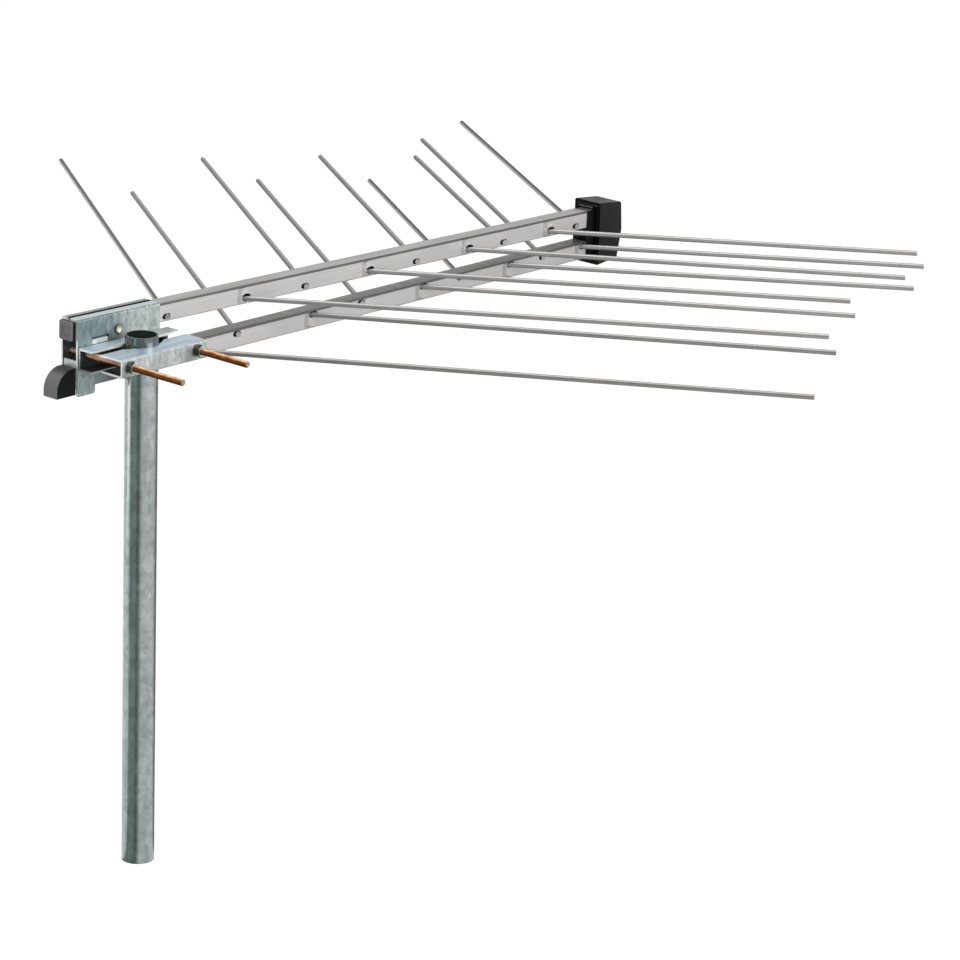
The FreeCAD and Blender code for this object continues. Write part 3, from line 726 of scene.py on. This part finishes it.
def box_material():
    """Black moulded box: painted light on the top and, fainter, in green-black on the sides, black
    elsewhere, painted highlight on the rib.
    """
    edge_dark, edge_pale = (0.004, 0.005, 0.004), (0.008, 0.009, 0.008)
    side_lit_dark, side_lit_pale = (0.012, 0.014, 0.0125), (0.017, 0.019, 0.0175)
    top_lit_dark, top_lit_pale, rib_highlight_tone = grey(0.06), grey(0.13), (0.17, 0.175, 0.17)
    material, n = new_material("box_plastic")
    place = n.position()
    along = n.axis(place, "X")
    fine = n.noise(place, scale=1500.0, detail=2.0)
    broad = n.noise(place, scale=60.0, detail=3.0)
    colour = n.blend(broad, edge_dark, edge_pale)
    cover_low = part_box("feed_box_cover")[0]
    # Painted light on the sides and, stronger, on the top
    side = n.band(n.size(n.facing("Y")), 0.93, 0.98)
    side = n.both(side, n.band(along, cover_low.x - 0.001, cover_low.x))
    colour = n.tint(colour, side, n.blend(broad, side_lit_dark, side_lit_pale))
    top = n.band(n.facing("Z"), *square_on)
    colour = n.tint(colour, top, n.blend(broad, top_lit_dark, top_lit_pale))
    # Painted highlight on the rib across the rear wall
    base_low, base_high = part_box("feed_box_base")
    rib_top = base_high.z - rib_below_top
    rib = n.band(n.axis(place, "Z"), rib_top - 0.002, rib_top - 0.001)
    wall = base_low.x + box_wall_back
    proud = n.fade(along, wall - 0.0004, wall - 0.0002)
    colour = n.tint(colour, n.both(rib, proud), rib_highlight_tone)
    n.shader(
        colour, metallic=0.0, rough=n.scaled(fine, 0.1, 0.36),
        normal=n.bump(fine, distance=0.00005, strength=0.4), specular=0.08,
    )
    return material


def brass_material():
    """Plain brass contacts."""
    material, n = new_material("contact_brass")
    tone = n.noise(n.position(), scale=120.0, detail=3.0)
    n.shader(n.blend(tone, (0.6, 0.42, 0.16), (0.75, 0.55, 0.25)), metallic=1.0, rough=0.3)
    return material


def slot_materials():
    """Material of each slot."""
    top_lit = ("Z", 0.5, 0.95, (0.07, 0.075, 0.08))
    rear_lit = ("X", -0.3, -0.75, (0.215, 0.22, 0.23))
    return {
        "boom_aluminium": boom_material("upper_boom", boom_fall, upper_boom_top_shade),
        "rod_aluminium": rod_material("rod_aluminium", right_rod_ends),
        "galvanised_sheet": spacer_material(),
        "galvanised_tube": galvanised_tube_material(),
        "stud_zinc_yellow": stud_material(),
        "fastener_zinc": fastener_material(),
        "cap_plastic": plastic_material(
            "cap_plastic", (0.004, 0.006, 0.006), (0.008, 0.010, 0.011),
            rough=0.32, grain=1200.0, specular=0.08, marks=(top_lit, rear_lit),
        ),
        "box_plastic": box_material(),
        "dark_plug": plastic_material(
            "dark_plug", (0.007, 0.011, 0.010), (0.013, 0.018, 0.017),
            rough=0.5, grain=900.0, specular=0.0,
        ),
        "contact_brass": brass_material(),
    }


def own_materials():
    """Materials of the nodes that differ from the rest of their slot."""
    own = {
        "lower_boom": boom_material("lower_boom", 0.0, lower_boom_top_shade, lower_creases),
        "bracket_plate_right": plate_material("bracket_plate_right"),
        "bracket_plate_left": plate_material("bracket_plate_left"),
        "inner_jaw": jaw_material("inner_jaw", -1),
        "outer_jaw": jaw_material("outer_jaw", 1),
    }
    left_rods = rod_material("rod_left", left_rod_sides, left_rod_shade)
    for element in range(1, 10):
        own[f"element_{element}_left"] = left_rods
    for side, sides, tones in (
        ("left", turned_rod_sides, turned_rod_shades), ("right", toned_rod_ends, right_rod_shades),
    ):
        for element, tone in tones.items():
            material = rod_material(f"rod_{side}_{element}", sides, tone)
            own[f"element_{element}_{side}"] = material
    return own


def dress_nodes():
    """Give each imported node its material, and soften its edges."""
    own = own_materials()
    for entry in frame["record"]["subparts"]:
        name, slot = entry["node"], entry["material_slot"]
        piece = nodes[name]
        piece.data.materials.clear()
        piece.data.materials.append(own.get(name, finishes[slot]))
        if slot in edge_softness:
            bevel = piece.modifiers.new("soft_edges", "BEVEL")
            bevel.width = edge_softness[slot]
            bevel.segments = edge_segments
            bevel.limit_method = "ANGLE"
            bevel.angle_limit = math.radians(edge_angle)
            bevel.harden_normals = True


def turn_angles(count):
    """Even angles round one turn."""
    return [2 * math.pi * i / count for i in range(count)]


def around_y(centre_x, y, centre_z, reach, angle):
    """Point at an angle and a reach about a line along Y."""
    return (centre_x + reach * math.cos(angle), y, centre_z + reach * math.sin(angle))


def add_rows(shape, rings):
    """Vertices of rings of points."""
    return [[shape.verts.new(point) for point in ring] for ring in rings]


def join_rows(shape, rows):
    """Faces between each ring of vertices and the next."""
    for first, second in zip(rows, rows[1:]):
        for i in range(len(first)):
            j = (i + 1) % len(first)
            shape.faces.new((first[i], first[j], second[j], second[i]))


def linked_piece(name, shape):
    """Object made of a shape and linked to the scene."""
    mesh = bpy.data.meshes.new(name)
    shape.to_mesh(mesh)
    shape.free()
    piece = bpy.data.objects.new(name, mesh)
    bpy.context.collection.objects.link(piece)
    return piece


def finish_piece(name, shape, slot, replaced=None, split_angle=None):
    """Added piece of a shape, with the material of its slot, its body and smoothing."""
    piece = linked_piece(name, shape)
    piece.data.materials.append(finishes[slot])
    if split_angle:
        piece.data.shade_smooth()
        split = piece.modifiers.new("sharp_edges", "EDGE_SPLIT")
        split.split_angle = math.radians(split_angle)
    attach(piece, "root")
    if replaced:
        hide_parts(replaced)


def make_threaded_stud(node):
    """Stud with a rolled thread from end to end and chamfered ends."""
    low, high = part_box(node)
    radius = (high.x - low.x) / 2
    middle_x, middle_z = (high.x + low.x) / 2, (high.z + low.z) / 2
    length = high.y - low.y
    count = round(length / thread_pitch * thread_rows_per_turn)
    rings = []
    for row in range(count + 1):
        along = length * row / count
        limit = radius - max(0.0, stud_chamfer - min(along, length - along))
        ring = []
        for angle in turn_angles(thread_columns):
            phase = 2 * math.pi * along / thread_pitch - angle
            reach = min(radius - thread_depth * (0.5 - 0.5 * math.cos(phase)), limit)
            ring.append(around_y(middle_x, low.y + along, middle_z, reach, angle))
        rings.append(ring)
    shape = bmesh.new()
    rows = add_rows(shape, rings)
    join_rows(shape, rows)
    shape.faces.new(list(reversed(rows[0])))
    shape.faces.new(rows[-1])
    bmesh.ops.recalc_face_normals(shape, faces=shape.faces)
    finish_piece(f"{node}_threaded", shape, "stud_zinc_yellow", node)


def hexagon_reach(angle, half_width):
    """Distance from a hexagon's centre to its side, with corners up and down."""
    sixth = math.pi / 3
    offset = (angle + sixth / 2) % sixth - sixth / 2
    return half_width / math.cos(offset)


def nut_rings(centre_x, centre_z, low_y, high_y, half_width, bore):
    """Rings of a hexagon nut along Y whose corners are turned down at both faces."""
    slope = math.tan(math.radians(nut_chamfer_angle))
    flat = half_width * nut_flat_share
    rings = []
    for y, radial, sign in (
        (low_y, "bore", 0), (low_y, "face", 0), (low_y, "side", 1),
        (high_y, "side", -1), (high_y, "face", 0), (high_y, "bore", 0),
    ):
        ring = []
        for angle in turn_angles(nut_columns):
            side = hexagon_reach(angle, half_width)
            drop = max(0.0, side - flat) * slope
            reach = {"bore": bore, "face": min(side, flat), "side": side}[radial]
            ring.append(around_y(centre_x, y + sign * drop, centre_z, reach, angle))
        rings.append(ring)
    return rings


def make_nuts(node):
    """Pair of chamfered nuts in place of the plain ones."""
    low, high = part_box(node)
    half_width = (high.z - low.z) / 2 * math.cos(math.radians(nut_half_corner))
    stud_low, stud_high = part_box("clamp_stud_rear")
    bore = (stud_high.x - stud_low.x) / 2 + nut_play
    centre_z = (low.z + high.z) / 2
    shape = bmesh.new()
    for centre_x in (low.x + half_width, high.x - half_width):
        rows = add_rows(shape, nut_rings(centre_x, centre_z, low.y, high.y, half_width, bore))
        join_rows(shape, rows + rows[:1])
    bmesh.ops.recalc_face_normals(shape, faces=shape.faces)
    finish_piece(f"{node}_chamfered", shape, "fastener_zinc", node, nut_split_angle)


def make_rivets():
    """Through rivets with dished heads."""
    low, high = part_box("bracket_rivets")
    right_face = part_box("bracket_plate_right")[0].y
    left_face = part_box("bracket_plate_left")[1].y
    head = rivet_head_radius
    angles = turn_angles(rivet_columns)
    shape = bmesh.new()
    for centre_x, centre_z in rivet_centres():
        for outer_y, plate_y, sign in ((low.y, right_face, 1), (high.y, left_face, -1)):
            points = [(share * head, outer_y + sign * inward) for share, inward in rivet_profile]
            points.append((head, plate_y))
            middle = shape.verts.new((centre_x, points[0][1], centre_z))
            rows = add_rows(shape, [
                [around_y(centre_x, y, centre_z, reach, angle) for angle in angles]
                for reach, y in points[1:]
            ])
            for first, second in zip(rows[0], rows[0][1:] + rows[0][:1]):
                shape.faces.new((middle, first, second))
            join_rows(shape, rows)
            shape.faces.new(rows[-1])
    bmesh.ops.recalc_face_normals(shape, faces=shape.faces)
    finish_piece(
        "bracket_rivets_dished", shape, "fastener_zinc", "bracket_rivets", rivet_split_angle,
    )


def make_bar(name, ends, half_y, depth, slot):
    """Flat bar between two points, square across Y, depth thick downwards."""
    shape = bmesh.new()
    for x, y, z in ends:
        for across in (-half_y, half_y):
            for down in (0.0, -depth):
                shape.verts.new((x, y + across, z + down))
    bmesh.ops.convex_hull(shape, input=shape.verts)
    finish_piece(name, shape, slot)


def make_lip_gap_shadow():
    """Black bar in the gap between the two lips over the upper boom, standing in for its shadow.
    """
    low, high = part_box("bracket_plate_right")
    middle = (low.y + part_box("bracket_plate_left")[1].y) / 2
    fall = (high.x - low.x) * math.tan(math.radians(boom_fall))
    top = high.z - gap_shadow_sink
    ends = ((low.x + gap_shadow_inset, middle, top), (high.x - gap_shadow_inset, middle, top - fall))
    make_bar("lip_gap_shadow", ends, gap_shadow_width / 2, gap_shadow_depth, "dark_plug")


def make_box_rib():
    """Moulded rib across the feed box's rear wall, over the upper boom."""
    low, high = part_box("feed_box_base")
    across = (low.y + high.y) / 2 + rib_shift
    back = low.x + box_wall_back
    top = high.z - rib_below_top
    ends = ((back - rib_depth, across, top), (back + rib_sunk, across, top))
    make_bar("box_rib", ends, rib_length / 2, rib_height, "box_plastic")


def make_floor():
    """Pale floor: near white to the camera, dark to the metal but for its bright sectors."""
    shape = bmesh.new()
    bmesh.ops.create_grid(shape, x_segments=1, y_segments=1, size=floor_half)
    floor = linked_piece("floor", shape)
    material, n = new_material("floor")
    floor.data.materials.append(material)
    seen, glossy = n.rays()
    place = n.position()
    ahead, left = n.axis(place, "X"), n.axis(place, "Y")
    bright = n.both(n.fade(left, *bright_right), n.band(ahead, *bright_ahead))
    mirrored = n.both(bright, floor_bright)
    glint = n.band(left, *glint_left, 0.0, floor_glint)
    for azimuth, outer, inner, level in (*floor_sectors, (*glint_sector, glint)):
        limits = [math.cos(math.radians(angle)) for angle in (outer, inner)]
        sector = n.band(n.toward(place, heading(azimuth)), *limits)
        mirrored = n.either(mirrored, n.both(sector, level))
    mirrored = n.both(n.either(mirrored, floor_dark), glossy)
    diffuse = n.add("ShaderNodeBsdfDiffuse")
    n.fill(diffuse.inputs["Color"], grey(floor_grey))
    glow = n.add("ShaderNodeEmission")
    n.fill(glow.inputs["Color"], grey(1))
    n.link(n.either(mirrored, n.both(seen, floor_glow)), glow.inputs["Strength"])
    share = n.either(n.both(seen, floor_seen), glossy)
    n.shader_mix(share, diffuse, glow, "ShaderNodeOutputMaterial")


def make_world():
    """Studio: white to the camera, even diffuse light, flags and cards for the metal."""
    world = bpy.data.worlds.new("studio")
    world.use_nodes = True
    n = Nodes(world.node_tree)
    seen, glossy = n.rays()
    way = n.add("ShaderNodeTexCoord").outputs["Generated"]
    level = sky_dark
    for azimuth, start, full, card_level in sky_cards:
        card = n.band(n.toward(way, heading(azimuth)), start, full)
        level = n.scaled(card, card_level, level)
    level = n.scaled(n.band(n.axis(way, "Z"), *overhead_card), sky_overhead, level)
    ambient = n.add("ShaderNodeBackground")
    n.fill(ambient.inputs["Color"], ambient_colour)
    strength = n.scaled(glossy, n.less(level, ambient_level), ambient_level)
    n.link(strength, ambient.inputs["Strength"])
    white = n.add("ShaderNodeBackground")
    white.inputs["Strength"].default_value = 1.0
    n.shader_mix(seen, ambient, white, "ShaderNodeOutputWorld")
    bpy.context.scene.world = world


def make_lamp(name, place, size, power, colour):
    """Square soft lamp aimed at the antenna."""
    data = bpy.data.lights.new(name, "AREA")
    data.shape = "SQUARE"
    data.size = size
    data.energy = power
    data.color = colour
    lamp = bpy.data.objects.new(name, data)
    lamp.location = place
    way = Vector(lamp_target) - Vector(place)
    lamp.rotation_euler = way.to_track_quat("-Z", "Y").to_euler()
    bpy.context.collection.objects.link(lamp)


make_camera()
finishes = slot_materials()
dress_nodes()
for stud_node in ("clamp_stud_rear", "clamp_stud_front"):
    make_threaded_stud(stud_node)
for nut_node in ("jaw_nuts", "plate_nuts"):
    make_nuts(nut_node)
make_rivets()
make_lip_gap_shadow()
make_box_rib()
make_floor()
make_world()
for lamp_settings in lamps:
    make_lamp(*lamp_settings)
bpy.context.scene.view_settings.view_transform = "Standard"
